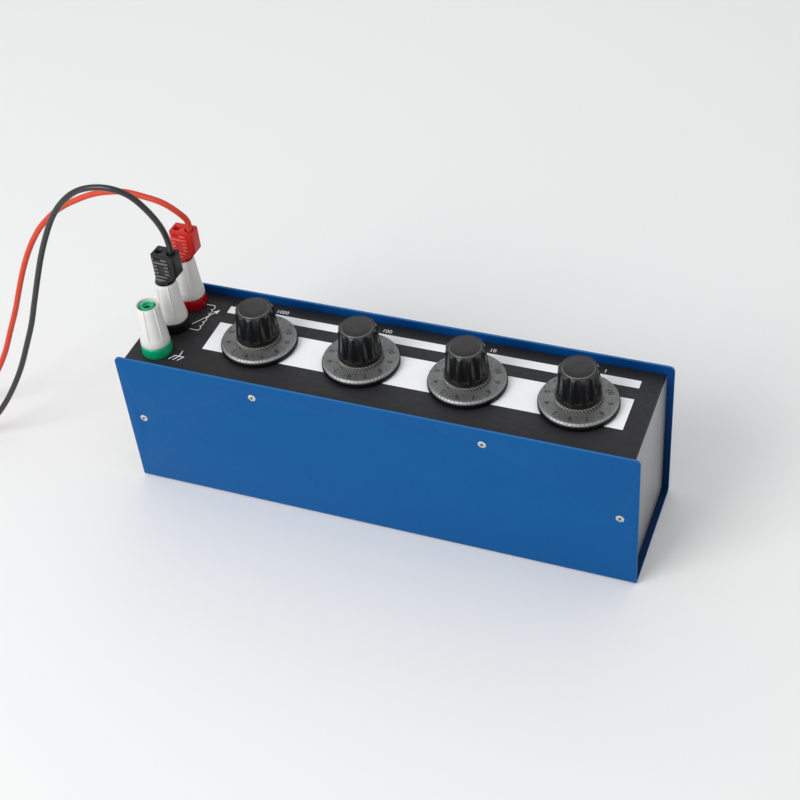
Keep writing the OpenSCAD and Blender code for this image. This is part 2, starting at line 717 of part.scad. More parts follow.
// White head: a tapered sleeve on the stem's thread, with broad flutes between narrow ridges
module head(i, phase) {
    ridge_top = head_top - 1.4;
    flute_top = head_top - 0.9;
    flute_foot = head_foot + 3;
    foot_r = head_r - head_flute_d;
    slope = atan((foot_r - head_rim_r - 0.06) / (flute_top - flute_foot));
    flute_r = 10.5;
    color([0.88, 0.88, 0.86])
    translate(post_at(i)) difference() {
        rotate_extrude($fn = 96) polygon([
            [washer_r + free, head_foot], [head_r - 0.4, head_foot], [head_r, head_foot + 0.5],
            [head_top_r, ridge_top], [head_rim_r, flute_top], [head_rim_r, head_top - 0.3],
            [head_rim_r - 0.3, head_top], [insert_r + 0.2, head_top], [insert_r + fit, head_top - 0.2],
            [insert_r + fit, head_top - insert_deep], [head_bore_r, head_top - insert_deep],
            [head_bore_r, collar_h + washer_t], [washer_r + free, collar_h + washer_t]]);
        for (a = [0 : head_flutes - 1]) rotate(phase + 180 / head_flutes + a * 360 / head_flutes)
            translate([foot_r, 0, flute_foot]) rotate([0, -slope, 0]) translate([flute_r, 0, 0])
                cylinder(r = flute_r, h = head_top - flute_foot + 2, $fn = 96);
    }
}
module green_head() { head(0, 37); }
module black_head() { head(1, 8); }
module red_head() { head(2, 10); }

// Coloured insert in the head's mouth: a dished floor with a raised ring round the socket
module insert(i) {
    low = head_top - insert_deep;
    translate(post_at(i)) rotate_extrude($fn = 64) polygon([
        [2.5, low], [insert_r, low], [insert_r, head_top - 1.1], [insert_r - 0.3, head_top - 1.1],
        [5, head_top - 2], [3.9, head_top - 2], [3.7, head_top - 1.1], [2.8, head_top - 1.1],
        [2.5, head_top - 1.4]]);
}
module green_insert() { color([0, 0.55, 0.36]) insert(0); }
module black_insert() { color([0.06, 0.06, 0.07]) insert(1); }
module red_insert() { color([0.55, 0, 0.08]) insert(2); }

module clamp_washer(i) {
    color([0.85, 0.83, 0.75])
    translate(post_at(i)) translate([0, 0, collar_h]) ring(washer_r, stem_r + free, washer_t);
}
module green_clamp_washer() { clamp_washer(0); }
module black_clamp_washer() { clamp_washer(1); }
module red_clamp_washer() { clamp_washer(2); }

// TEST LEADS

// Stackable plug: a flat housing over a round foot, its socket above its pin and
// its lead beside it; ribbed on the front, with the pin's axis at the origin
module plug_housing() {
    difference() {
        union() {
            intersection() {
                rotate([90, 0, 0]) linear_extrude(plug_t, center = true) polygon([
                    [plug_left, 1.5], [plug_left, plug_h - 0.6], [plug_left + 0.6, plug_h],
                    [plug_right - 0.8, plug_h], [plug_right, plug_h - 0.8],
                    [plug_right, plug_shoulder + 1], [plug_right - 0.8, plug_shoulder],
                    [plug_foot_r - 0.6, 2.5], [plug_foot_r - 2, 0], [-plug_foot_r + 2, 0]]);
                translate([0, 0, -1]) linear_extrude(plug_h + 2) plug_plan();
            }
            cylinder(r1 = plug_foot_r - 0.5, r2 = plug_foot_r, h = 0.5);
            translate([0, 0, 0.5]) cylinder(r = plug_foot_r, h = 1.7);
            translate([0, 0, 2.2]) cylinder(r1 = plug_foot_r, r2 = plug_t / 2 - 0.8, h = 2.8);
            for (k = [0 : 6]) plug_rib(k);
        }
        translate([0, 0, -1]) cylinder(r = bore_gap, h = root_h + 1);
        translate([0, 0, plug_h - stack_d]) cylinder(r = socket_r, h = stack_d + 1);
        translate([0, 0, plug_h - 1]) cylinder(r1 = socket_r, r2 = 2.7, h = 1 + e);
        translate([lead_off, 0, plug_h - lead_seat])
            cylinder(r1 = lead_r + 0.3, r2 = lead_r + 0.9, h = lead_seat + e);
        translate([-0.7, -plug_t / 2 - 1, plug_h - 2.8]) cube([4.2, 1.8, 1.2]);
    }
}

// The plug's outline from above, with rounded ends
module plug_plan() {
    r = 2;
    translate([plug_left + r, -plug_t / 2]) square([plug_right - plug_left - 2 * r, plug_t]);
    translate([plug_left, -plug_t / 2 + r]) square([plug_right - plug_left, plug_t - 2 * r]);
    for (x = [plug_left + r, plug_right - r], y = [r - plug_t / 2, plug_t / 2 - r])
        translate([x, y]) circle(r);
}

// Grip ribs across the front: from the foot two whole ones, three parted by a thumb
// recess, a whole one, and one that the slot parts
rib_spans = [[[-2.6, 4.1]], [[-2.7, 6.2]], [[-2.6, 0.6], [5.1, 8.2]], [[-2.6, 0.6], [5.3, 8.2]],
    [[-2.6, 0.4], [5.5, 8.2]], [[-2.8, 8.4]], [[-2.8, -1.1], [3.8, 8]]];
module plug_rib(k) {
    for (span = rib_spans[k]) translate([span[0], -plug_t / 2 - 0.4, plug_h - 2.7 - (6 - k) * rib_pitch])
        cube([span[1] - span[0], 1, 0.9]);
}

module plug_pin() {
    difference() {
        union() {
            translate([0, 0, -pin_l + 0.8]) cylinder(r = pin_r, h = pin_l - 0.8 + e);
            cylinder(r = pin_root_r, h = root_h);
            translate([0, 0, -pin_l]) cylinder(r1 = pin_r - 0.7, r2 = pin_r, h = 0.8 + e);
        }
        translate([0, 0, -pin_l - 1]) cylinder(r = 0.9, h = 3.5, $fn = 24);
    }
}

module plug_place(i) {
    translate(post_at(i)) translate([0, 0, head_top + 0.1]) rotate(plug_turn[i]) children();
}

// Lays a plug at the end of a tail, its pin pointing away from the lead along -X
module far_place(tail, flip) {
    translate(tail[len(tail) - 1]) rotate([0, 0, 90]) rotate([90, 0, 0]) mirror([flip, 0, 0])
        translate([-lead_off, 0, lead_seat - plug_h]) children();
}

// Closed outline of a wound coil of lead
module coil(at) {
    translate([at[0], at[1], 0.05]) rotate_extrude($fn = 96) {
        translate([coil_in + 1.5, 0]) square([coil_out - coil_in - 3, coil_h]);
        translate([coil_in, 1.5]) square([coil_out - coil_in, coil_h - 3]);
        for (x = [coil_in + 1.5, coil_out - 1.5], y = [1.5, coil_h - 1.5]) translate([x, y]) circle(1.5);
    }
}

module black_plug() { color([0.13, 0.14, 0.15]) plug_place(1) plug_housing(); }
module black_plug_pin() { color([0.85, 0.8, 0.6]) plug_place(1) plug_pin(); }
module black_lead() { color([0.2, 0.2, 0.21]) { tube(black_route, lead_r); tube(black_tail, lead_r); } }
module black_coil() { color([0.2, 0.2, 0.21]) coil(black_coil_at); }
module black_far_plug() { color([0.13, 0.14, 0.15]) far_place(black_tail, 1) plug_housing(); }
module red_plug() { color([0.82, 0.14, 0.16]) plug_place(2) plug_housing(); }
module red_plug_pin() { color([0.85, 0.8, 0.6]) plug_place(2) plug_pin(); }
module red_lead() { color([0.88, 0.3, 0.2]) { tube(red_route, lead_r); tube(red_tail, lead_r); } }
module red_coil() { color([0.88, 0.3, 0.2]) coil(red_coil_at); }
module red_far_plug() { color([0.82, 0.14, 0.16]) far_place(red_tail, 0) plug_housing(); }
module far_plug_pins() {
    color([0.85, 0.8, 0.6]) {
        far_place(black_tail, 1) plug_pin();
        far_place(red_tail, 0) plug_pin();
    }
}

outer_cover();
chassis();
panel_overlay();
cover_screws();
clinch_nuts();
switch_frames();
panel_nuts();
switch_spacers();
switch_wafers();
wafer_contacts();
tie_bolts();
coil_board();
board_pillars();
board_screws();
pot_cores();
coil_windings();
link_wires();
green_collar();
black_collar();
red_collar();
post_insulators();
post_stems();
post_nuts();
solder_tags();
green_head();
black_head();
red_head();
green_insert();
black_insert();
red_insert();
green_clamp_washer();
black_clamp_washer();
red_clamp_washer();
black_plug();
black_plug_pin();
black_lead();
black_coil();
black_far_plug();
red_plug();
red_plug_pin();
red_lead();
red_coil();
red_far_plug();
far_plug_pins();
switch_shaft(0);  // switch_shaft_1
switch_shaft(1);  // switch_shaft_2
switch_shaft(2);  // switch_shaft_3
switch_shaft(3);  // switch_shaft_4
dial_plate(0);  // dial_plate_1
dial_plate(1);  // dial_plate_2
dial_plate(2);  // dial_plate_3
dial_plate(3);  // dial_plate_4
knob(0);  // knob_1
knob(1);  // knob_2
knob(2);  // knob_3
knob(3);  // knob_4
knob_cap(0);  // knob_cap_1
knob_cap(1);  // knob_cap_2
knob_cap(2);  // knob_cap_3
knob_cap(3);  // knob_cap_4
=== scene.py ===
import json
import math

import bmesh
import bpy
from mathutils import Matrix, Vector

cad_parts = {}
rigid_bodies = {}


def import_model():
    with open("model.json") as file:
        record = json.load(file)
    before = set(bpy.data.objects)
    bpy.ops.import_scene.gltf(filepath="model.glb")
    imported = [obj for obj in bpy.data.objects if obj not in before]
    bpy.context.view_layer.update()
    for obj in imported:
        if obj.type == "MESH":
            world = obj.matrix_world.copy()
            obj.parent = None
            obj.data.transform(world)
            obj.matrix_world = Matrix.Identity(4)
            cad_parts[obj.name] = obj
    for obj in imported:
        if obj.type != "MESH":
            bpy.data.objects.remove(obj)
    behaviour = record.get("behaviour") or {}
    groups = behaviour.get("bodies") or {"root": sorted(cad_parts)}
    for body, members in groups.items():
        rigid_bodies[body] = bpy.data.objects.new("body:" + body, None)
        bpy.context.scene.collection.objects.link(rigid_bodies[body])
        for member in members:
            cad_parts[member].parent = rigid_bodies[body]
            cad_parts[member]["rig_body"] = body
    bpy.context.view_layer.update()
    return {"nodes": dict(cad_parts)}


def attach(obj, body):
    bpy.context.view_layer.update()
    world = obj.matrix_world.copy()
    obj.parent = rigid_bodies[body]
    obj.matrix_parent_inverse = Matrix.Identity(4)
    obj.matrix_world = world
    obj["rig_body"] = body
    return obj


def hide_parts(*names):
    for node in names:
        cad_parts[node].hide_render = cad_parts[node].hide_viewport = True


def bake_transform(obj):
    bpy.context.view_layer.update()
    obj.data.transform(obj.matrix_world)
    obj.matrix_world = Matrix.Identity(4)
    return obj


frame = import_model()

# Driving dimensions, in millimetres, as the solids have them
MM = 0.001
PANEL_Z = 96.4
BOX_D = 82.5
DIAL_PITCH, DIAL_ROW_X, DIAL_Y = 67.9, 16.2, 1.0
POST_X, POST_Y, POST_PITCH = -145.45, 2.7, 24.6
LEAD_D = 3.8
COIL_R = 20.0
COLOURS = ("green", "black", "red")
DIALS = (1, 2, 3, 4)

# Edges that turn by less than this are smooth
SMOOTH_ANGLE = math.radians(38)


def dial_axis(i):
    return Vector((DIAL_ROW_X + (i - 2.5) * DIAL_PITCH, DIAL_Y, PANEL_Z))


def post_axis(i):
    return Vector((POST_X, POST_Y + (i - 1) * POST_PITCH, PANEL_Z))


# Camera: the photograph's view

CAMERA_PLACE = (0.29756, -0.63278, 0.70240)
AZIMUTH, ELEVATION, ROLL = 24.767, 42.107, -6.078
FOCAL_MM = 69.208


def make_camera():
    azimuth, elevation, roll = (math.radians(turn) for turn in (AZIMUTH, ELEVATION, ROLL))
    data = bpy.data.cameras.new("camera")
    data.sensor_width, data.lens = 36, FOCAL_MM
    camera = bpy.data.objects.new("camera", data)
    bpy.context.scene.collection.objects.link(camera)
    forward = Vector((-math.sin(azimuth) * math.cos(elevation),
                      math.cos(azimuth) * math.cos(elevation), -math.sin(elevation)))
    camera.location = CAMERA_PLACE
    camera.rotation_mode = "QUATERNION"
    turn = forward.to_track_quat("-Z", "Y").to_matrix() @ Matrix.Rotation(roll, 3, "Z")
    camera.rotation_quaternion = turn.to_quaternion()
    bpy.context.scene.camera = camera


# Materials

class Finish:
    """A procedural material: one principled shader and the few nodes that vary it."""

    def __init__(self, name, colour, roughness, metallic=0.0, **sockets):
        self.material = bpy.data.materials.new(name)
        self.material.use_nodes = True
        self.tree = self.material.node_tree
        self.shader = self.tree.nodes["Principled BSDF"]
        self.colour = (*colour, 1)
        self.shader.inputs["Base Color"].default_value = self.colour
        self.shader.inputs["Roughness"].default_value = roughness
        self.shader.inputs["Metallic"].default_value = metallic
        for socket, value in sockets.items():
            self.shader.inputs[socket.replace("_", " ")].default_value = value
        self.place = self.node("ShaderNodeTexCoord").outputs["Object"]
        self.height = None

    def node(self, kind, **settings):
        made = self.tree.nodes.new(kind)
        for key, value in settings.items():
            setattr(made, key, value)
        return made

    def link(self, a, b):
        self.tree.links.new(a, b)

    def noise(self, size_mm, detail, stretch=(1, 1, 1)):
        """Noise whose grains are about size_mm across, stretched along an axis where asked."""
        mapping = self.node("ShaderNodeMapping")
        self.link(self.place, mapping.inputs["Vector"])
        mapping.inputs["Scale"].default_value = tuple(1 / s for s in stretch)
        noise = self.node("ShaderNodeTexNoise")
        self.link(mapping.outputs["Vector"], noise.inputs["Vector"])
        noise.inputs["Scale"].default_value = 1 / (size_mm * MM)
        noise.inputs["Detail"].default_value = detail
        noise.inputs["Roughness"].default_value = 0.55
        return noise.outputs["Fac"]

    def ramp(self, value, low, high, to_low, to_high):
        """Takes a value from low..high to to_low..to_high."""
        change = self.node("ShaderNodeMapRange")
        self.link(value, change.inputs["Value"])
        keys = ("From Min", "From Max", "To Min", "To Max")
        for key, number in zip(keys, (low, high, to_low, to_high)):
            change.inputs[key].default_value = number
        return change.outputs["Result"]

    def tint(self, value, colour, amount=1.0):
        """Mixes colour over what the base colour has, by value."""
        mix = self.node("ShaderNodeMix", data_type="RGBA")
        old = self.shader.inputs["Base Color"]
        if old.is_linked:
            self.link(old.links[0].from_socket, mix.inputs["A"])
        else:
            mix.inputs["A"].default_value = self.colour
        mix.inputs["B"].default_value = (*colour, 1)
        self.link(self.ramp(value, 0, 1, 0, amount), mix.inputs["Factor"])
        self.link(mix.outputs["Result"], old)
        return self

    def rough(self, value, low, high):
        self.link(self.ramp(value, 0.3, 0.7, low, high), self.shader.inputs["Roughness"])
        return self

    def bump(self, value, depth_mm, strength=1.0):
        """Adds a bump of the given depth to those already there."""
        bump = self.node("ShaderNodeBump")
        bump.inputs["Strength"].default_value = strength
        bump.inputs["Distance"].default_value = depth_mm * MM
        self.link(value, bump.inputs["Height"])
        if self.height:
            self.link(self.height, bump.inputs["Normal"])
        self.height = bump.outputs["Normal"]
        self.link(self.height, self.shader.inputs["Normal"])
        return self

    def axis_value(self, axis):
        split = self.node("ShaderNodeSeparateXYZ")
        self.link(self.place, split.inputs["Vector"])
        return split.outputs[axis]

    def from_axis(self):
        """Where a point lies from its own turning axis, in metres, as the mesh stores it."""
        self.place = self.node("ShaderNodeAttribute", attribute_name="from_axis").outputs["Vector"]
        return self

    def waves(self, pitch_mm, distortion=0.0, **settings):
        """Light and dark bands or rings, pitch_mm apart."""
        wave = self.node("ShaderNodeTexWave", **settings)
        self.link(self.place, wave.inputs["Vector"])
        wave.inputs["Scale"].default_value = 0.314 / (pitch_mm * MM)
        wave.inputs["Distortion"].default_value = distortion
        return wave.outputs["Fac"]


# How far below the panel the painted shade inside the cover is at its darkest
SHADE_DEPTH = 70


def blue_paint(name, colour, fleck, patch, shade=None):
    """Powder coat, with painted shade that darkens it below the panel where a shade colour is given."""
    f = Finish(name, colour, 0.42, Specular_IOR_Level=0.08)
    f.tint(f.noise(0.8, 2), fleck, 0.7).tint(f.noise(40, 3), patch, 0.35)
    if shade:
        # Painted shade: darker towards the bottom, fully dark SHADE_DEPTH below the panel
        f.tint(f.ramp(f.axis_value("Z"), (PANEL_Z - SHADE_DEPTH) * MM, PANEL_Z * MM, 1, 0), shade)
    f.rough(f.noise(6, 2), 0.36, 0.48)
    return f.bump(f.noise(0.8, 2), 0.06, 0.7).bump(f.noise(3.5, 2), 0.05, 0.3).material


def end_wall():
    """Satin metal below, and the bent edge at the top black like the panel above it."""
    f = Finish("satin_end_wall", (0.36, 0.365, 0.37), 0.40, 0.6)
    grain = f.noise(0.5, 4, (1, 1, 30))
    f.tint(grain, (0.30, 0.305, 0.31), 0.6).rough(grain, 0.35, 0.46)
    edge = f.ramp(f.axis_value("Z"), (PANEL_Z - 1.5) * MM, (PANEL_Z - 1.4) * MM, 0, 1)
    f.tint(edge, (0.019, 0.019, 0.021))
    f.link(f.ramp(edge, 0, 1, 0.6, 0), f.shader.inputs["Metallic"])
    return f.bump(grain, 0.01, 0.35).material


def plated(name, colour, rough):
    f = Finish(name, colour, rough, 1.0)
    f.tint(f.noise(2.5, 3), tuple(c * 0.8 for c in colour), 0.5)
    f.rough(f.noise(1.2, 3), rough * 0.8, rough * 1.3)
    return f.bump(f.noise(0.4, 2), 0.006, 0.4).material


def moulded(name, colour, rough, worn=None, grain_mm=0.5, depth_mm=0.01, spread=0.18, **sockets):
    """Plastic or ink: spread says how much its roughness wanders about the given one."""
    f = Finish(name, colour, rough, **sockets)
    f.tint(f.noise(7, 3), worn or tuple(min(1, c * 1.25 + 0.01) for c in colour), 0.5)
    f.rough(f.noise(2.5, 3), rough * (1 - spread), rough * (1 + spread))
    return f.bump(f.noise(grain_mm, 2), depth_mm, 0.5).material


def spun_aluminium():
    f = Finish("spun_aluminium", (0.255, 0.260, 0.268), 0.42, 0.7).from_axis()
    f.tint(f.noise(4, 4), (0.115, 0.115, 0.115), 0.9).tint(f.noise(9, 2), (0.27, 0.255, 0.215), 0.2)
    f.tint(f.ramp(f.noise(2.2, 4), 0.52, 0.68, 0, 1), (0.085, 0.085, 0.083), 0.8)
    f.rough(f.noise(2, 3), 0.40, 0.54)
    turning = f.waves(0.35, 0.6, wave_type="RINGS", rings_direction="Z")
    return f.bump(turning, 0.010, 0.6).bump(f.noise(0.8, 3), 0.008, 0.4).material


# Middle radius of the knurls
KNURL_R = 13.85


def knurled_ring():
    """Knurled metal, with painted shade in the grooves between the knurls so that the crests stand out
    bright.
    """
    f = Finish("knurled_ring", (0.56, 0.55, 0.52), 0.30, 0.85).from_axis()
    reach = f.node("ShaderNodeVectorMath", operation="LENGTH")
    flat = f.node("ShaderNodeVectorMath", operation="MULTIPLY")
    flat.inputs[1].default_value = (1, 1, 0)
    f.link(f.place, flat.inputs[0])
    f.link(flat.outputs["Vector"], reach.inputs[0])
    groove, crest = (KNURL_R - 0.13) * MM, (KNURL_R + 0.13) * MM
    # Painted shade: darker from the crests down into the grooves
    f.tint(f.ramp(reach.outputs["Value"], groove, crest, 1, 0), (0.012, 0.011, 0.009))
    f.tint(f.noise(3, 3), (0.30, 0.28, 0.23), 0.5)
    return f.rough(f.noise(1.2, 3), 0.26, 0.40).bump(f.noise(0.4, 2), 0.006, 0.4).material


def windings():
    f = Finish("enamelled_wire", (0.45, 0.16, 0.06), 0.35, 0.6)
    turns = f.waves(0.5, wave_type="BANDS", bands_direction="Z")
    # The waves darken the wire between the turns, painted shade in the creases, and bump the turns
    return f.tint(turns, (0.16, 0.05, 0.02), 0.8).bump(turns, 0.08, 0.8).material


def laminate(name, colour, dark):
    f = Finish(name, colour, 0.55)
    f.tint(f.noise(0.5, 2, (6, 1, 1)), dark, 0.6).tint(f.noise(0.5, 2, (1, 6, 1)), dark, 0.4)
    return f.bump(f.noise(0.4, 2), 0.01, 0.4).material


M = {
    "blue": blue_paint("blue_powder_coat", (0.003, 0.080, 0.265), (0.008, 0.118, 0.335),
                       (0.002, 0.064, 0.220)),
    # A darker copy of the coat for the cover's inner faces and floor: painted shade, with more painted
    # shade lower down
    "blue_painted_shade": blue_paint("blue_coat_painted_shade", (0.001, 0.046, 0.185), (0.002, 0.064, 0.23),
                              (0.001, 0.035, 0.15), (0.001, 0.018, 0.070)),
    # A lighter copy of the coat for the cover's top and end faces: painted highlight
    "blue_painted_highlight": blue_paint("blue_coat_painted_highlight", (0.020, 0.140, 0.38), (0.04, 0.180, 0.46),
                            (0.015, 0.12, 0.33)),
    "end": end_wall(),
    "film": moulded("printed_film", (0.014, 0.014, 0.016), 0.58, (0.021, 0.021, 0.023), 0.35, 0.006,
                    Specular_IOR_Level=0.42),
    "print": moulded("white_print", (0.93, 0.94, 0.95), 0.55, (0.88, 0.89, 0.91), 0.6, 0.004),
    "ink": moulded("dial_ink", (0.02, 0.02, 0.022), 0.5),
    "nickel": plated("nickel", (0.70, 0.69, 0.67), 0.24),
    # Dark for the screws' cross recesses: painted shade
    "recess": moulded("screw_recess_painted_shade", (0.035, 0.033, 0.030), 0.5, (0.05, 0.047, 0.042)),
    "zinc": plated("zinc", (0.55, 0.55, 0.56), 0.36),
    "knurl": knurled_ring(),
    # The dial plates' turned bevel: lighter than the spun face as its own finish, and partly a painted
    # highlight all round
    "rim": plated("turned_rim_painted_highlight", (0.44, 0.44, 0.44), 0.58),
    "gold": plated("gold_flash", (0.80, 0.62, 0.32), 0.24),
    "silver": plated("silvered_contact", (0.75, 0.72, 0.66), 0.28),
    "spun": spun_aluminium(),
    "skirt": moulded("black_skirt", (0.004, 0.004, 0.005), 0.42, (0.007, 0.007, 0.008),
                     Specular_IOR_Level=0.15),
    "knob": moulded("knob_black", (0.006, 0.006, 0.0065), 0.22, (0.011, 0.011, 0.012), 1.2, 0.012,
                    Specular_IOR_Level=0.35),
    "cap": moulded("cap_black", (0.010, 0.010, 0.0105), 0.30, (0.019, 0.018, 0.018), 0.5, 0.01,
                   Specular_IOR_Level=0.38),
    # Lighter and smoother on the caps' chamfer: a painted highlight
    "cap_edge": moulded("cap_edge_painted_highlight", (0.12, 0.12, 0.122), 0.24, (0.16, 0.16, 0.16), 0.5, 0.006),
    # Lighter on the knobs' upward faces round the top: painted sheen
    "knob_ring": moulded("knob_ring_painted_sheen", (0.026, 0.026, 0.027), 0.34, (0.036, 0.035, 0.035), 0.6, 0.008,
                         Specular_IOR_Level=0.4),
    "green": moulded("post_green", (0.0, 0.40, 0.175), 0.30, (0.003, 0.42, 0.185), 1.5, 0.003, 0.06),
    "black": moulded("post_black", (0.006, 0.006, 0.007), 0.30, (0.009, 0.009, 0.01), 1.5, 0.003, 0.06,
                     Specular_IOR_Level=0.25),
    "red": moulded("post_red", (0.42, 0.001, 0.005), 0.28, (0.44, 0.002, 0.007), 1.5, 0.003, 0.06,
                   Specular_IOR_Level=0.35),
    "green_insert": moulded("insert_green", (0.02, 0.46, 0.21), 0.3, (0.04, 0.50, 0.25)),
    "black_insert": moulded("insert_black", (0.014, 0.014, 0.015), 0.3),
    "red_insert": moulded("insert_red", (0.40, 0.01, 0.014), 0.3),
    "white": moulded("head_white", (0.735, 0.73, 0.705), 0.34, (0.69, 0.685, 0.655), 0.8, 0.008),
    "plug_black": moulded("plug_black", (0.010, 0.010, 0.011), 0.40, (0.018, 0.018, 0.019), 0.3, 0.012,
                          Specular_IOR_Level=0.35),
    "plug_red": moulded("plug_red", (0.56, 0.010, 0.008), 0.38, (0.62, 0.022, 0.014), 0.3, 0.012,
                        Specular_IOR_Level=0.35),
    # Lighter rib faces on the plugs: painted highlight
    "rib_black": moulded("plug_black_rib_painted_highlight", (0.11, 0.11, 0.113), 0.36, (0.15, 0.15, 0.15), 0.3, 0.008),
    "rib_red": moulded("plug_red_rib_painted_highlight", (0.80, 0.09, 0.07), 0.36, (0.85, 0.14, 0.115), 0.3, 0.008),
    "lead_black": moulded("lead_black", (0.010, 0.010, 0.011), 0.30, (0.018, 0.018, 0.019), 0.5, 0.008,
                          Specular_IOR_Level=0.6),
    "lead_red": moulded("lead_red", (0.62, 0.050, 0.020), 0.44, (0.67, 0.075, 0.035), 0.5, 0.008,
                        Specular_IOR_Level=0.35),
    "tie": moulded("tie_grey", (0.25, 0.25, 0.26), 0.6),
    "wire": moulded("wire_yellow", (0.60, 0.42, 0.05), 0.45),
    "board": laminate("board", (0.34, 0.24, 0.09), (0.20, 0.13, 0.04)),
    "wafer": laminate("wafer", (0.26, 0.12, 0.05), (0.14, 0.06, 0.02)),
    "insulator": moulded("insulator", (0.70, 0.66, 0.54), 0.5),
    "ferrite": moulded("ferrite", (0.035, 0.035, 0.04), 0.55, (0.06, 0.06, 0.065), 0.6, 0.03),
    "winding": windings(),
}


# Meshes

def finished(bm, name, materials, body, replaces=(), angle=SMOOTH_ANGLE):
    """A mesh in millimetres becomes a piece in metres that rides on its body."""
    bmesh.ops.scale(bm, vec=(MM, MM, MM), verts=bm.verts)
    mesh = bpy.data.meshes.new(name)
    bm.to_mesh(mesh)
    bm.free()
    mesh.shade_smooth()
    mesh.set_sharp_from_angle(angle=angle)
    for material in materials:
        mesh.materials.append(material)
    piece = bpy.data.objects.new(name, mesh)
    bpy.context.scene.collection.objects.link(piece)
    if body:
        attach(piece, body)
    if replaces:
        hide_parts(*replaces)
    return piece


def second_finish(piece, chosen):
    """Gives the faces that chosen picks the piece's second material."""
    for face in piece.data.polygons:
        if chosen(face):
            face.material_index = 1


def spin_profile(points, axis, steps, closed=True):
    """Turns a profile of (radius, height) points round a vertical axis."""
    bm = bmesh.new()
    ring = [bm.verts.new((r, 0, z)) for r, z in points]
    for a, b in zip(ring, ring[1:] + ring[:1] if closed else ring[1:]):
        bm.edges.new((a, b))
    bmesh.ops.spin(bm, geom=bm.verts[:] + bm.edges[:], axis=(0, 0, 1), cent=(0, 0, 0),
                   angle=math.tau, steps=steps, use_merge=True)
    bmesh.ops.remove_doubles(bm, verts=bm.verts, dist=1e-4)
    bmesh.ops.recalc_face_normals(bm, faces=bm.faces)
    bmesh.ops.translate(bm, vec=axis, verts=bm.verts)
    return bm


def store_axis(piece, axis):
    """Keeps each point's place from the piece's axis, for patterns that run round it."""
    stored = piece.data.attributes.new("from_axis", "FLOAT_VECTOR", "POINT")
    for vertex, entry in zip(piece.data.vertices, stored.data):
        entry.vector = vertex.co - axis * MM


def rows(low, high, count):
    """Evenly spaced (radius, height) points from one point to another."""
    return [tuple(Vector(low).lerp(Vector(high), k / count)) for k in range(count + 1)]


def ease(value, low, high):
    t = min(max((value - low) / (high - low), 0), 1)
    return t * t * (3 - 2 * t)


def turn_from_nearest(x, y, count):
    """The angle in degrees from the nearest of count even places round an axis."""
    half = 180 / count
    return (math.degrees(math.atan2(y, x)) + half) % (2 * half) - half


def turn_piece(bm, axis, angle):
    bmesh.ops.rotate(bm, cent=axis, matrix=Matrix.Rotation(math.radians(angle), 3, "Z"), verts=bm.verts)


def flute(bm, axis, count, side_at, floor_at, cut_r, foot, run):
    """Presses round flutes into a side, each to the surface of the cutter that would mill it."""
    for vertex in bm.verts:
        x, y, z = vertex.co - axis
        r = math.hypot(x, y)
        side = side_at(z)
        turn = math.radians(turn_from_nearest(x, y, count))
        centre = side + cut_r - (side - floor_at(z)) * ease(z, foot, foot + run)
        reach = centre * math.sin(turn)
        if z < foot or abs(reach) >= cut_r:
            continue
        cut = centre * math.cos(turn) - math.sqrt(cut_r ** 2 - reach ** 2)
        if cut < r:
            vertex.co.x, vertex.co.y = axis.x + x * cut / r, axis.y + y * cut / r


def ridge(bm, axis, count, height, half_turn, foot, run, bore):
    """Leaves ridges on a side: what lies between them is lowered, less and less towards the foot."""
    for vertex in bm.verts:
        x, y, z = vertex.co - axis
        r = math.hypot(x, y)
        away = abs(turn_from_nearest(x, y, count))
        lower = height * ease(z, foot, foot + run) * ease(away, 0, half_turn)
        if r > bore:
            vertex.co.x, vertex.co.y = axis.x + x * (1 - lower / r), axis.y + y * (1 - lower / r)


def slope_between(low, high):
    """The radius at any height of a straight side through two (radius, height) points."""
    return lambda z: low[0] + (high[0] - low[0]) * (z - low[1]) / (high[1] - low[1])


def copied(node, materials, bevel_mm, mend=None):
    """A merged copy of a node's own mesh, with its flat faces whole and its sharp edges rounded."""
    bm = bmesh.new()
    bm.from_mesh(frame["nodes"][node].data)
    bmesh.ops.scale(bm, vec=(1 / MM,) * 3, verts=bm.verts)
    bmesh.ops.remove_doubles(bm, verts=bm.verts, dist=2e-3)
    bmesh.ops.dissolve_limit(bm, angle_limit=math.radians(0.6), verts=bm.verts, edges=bm.edges)
    if mend:
        mend(bm)
    sharp = [e for e in bm.edges if e.is_manifold and e.calc_face_angle(0) > math.radians(40)]
    bmesh.ops.bevel(bm, geom=sharp, offset=bevel_mm, offset_type="OFFSET", segments=2, affect="EDGES",
                    profile=0.5, material=-1, clamp_overlap=True)
    return finished(bm, node + "_finished", materials, frame["nodes"][node]["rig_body"], [node])


# Leads

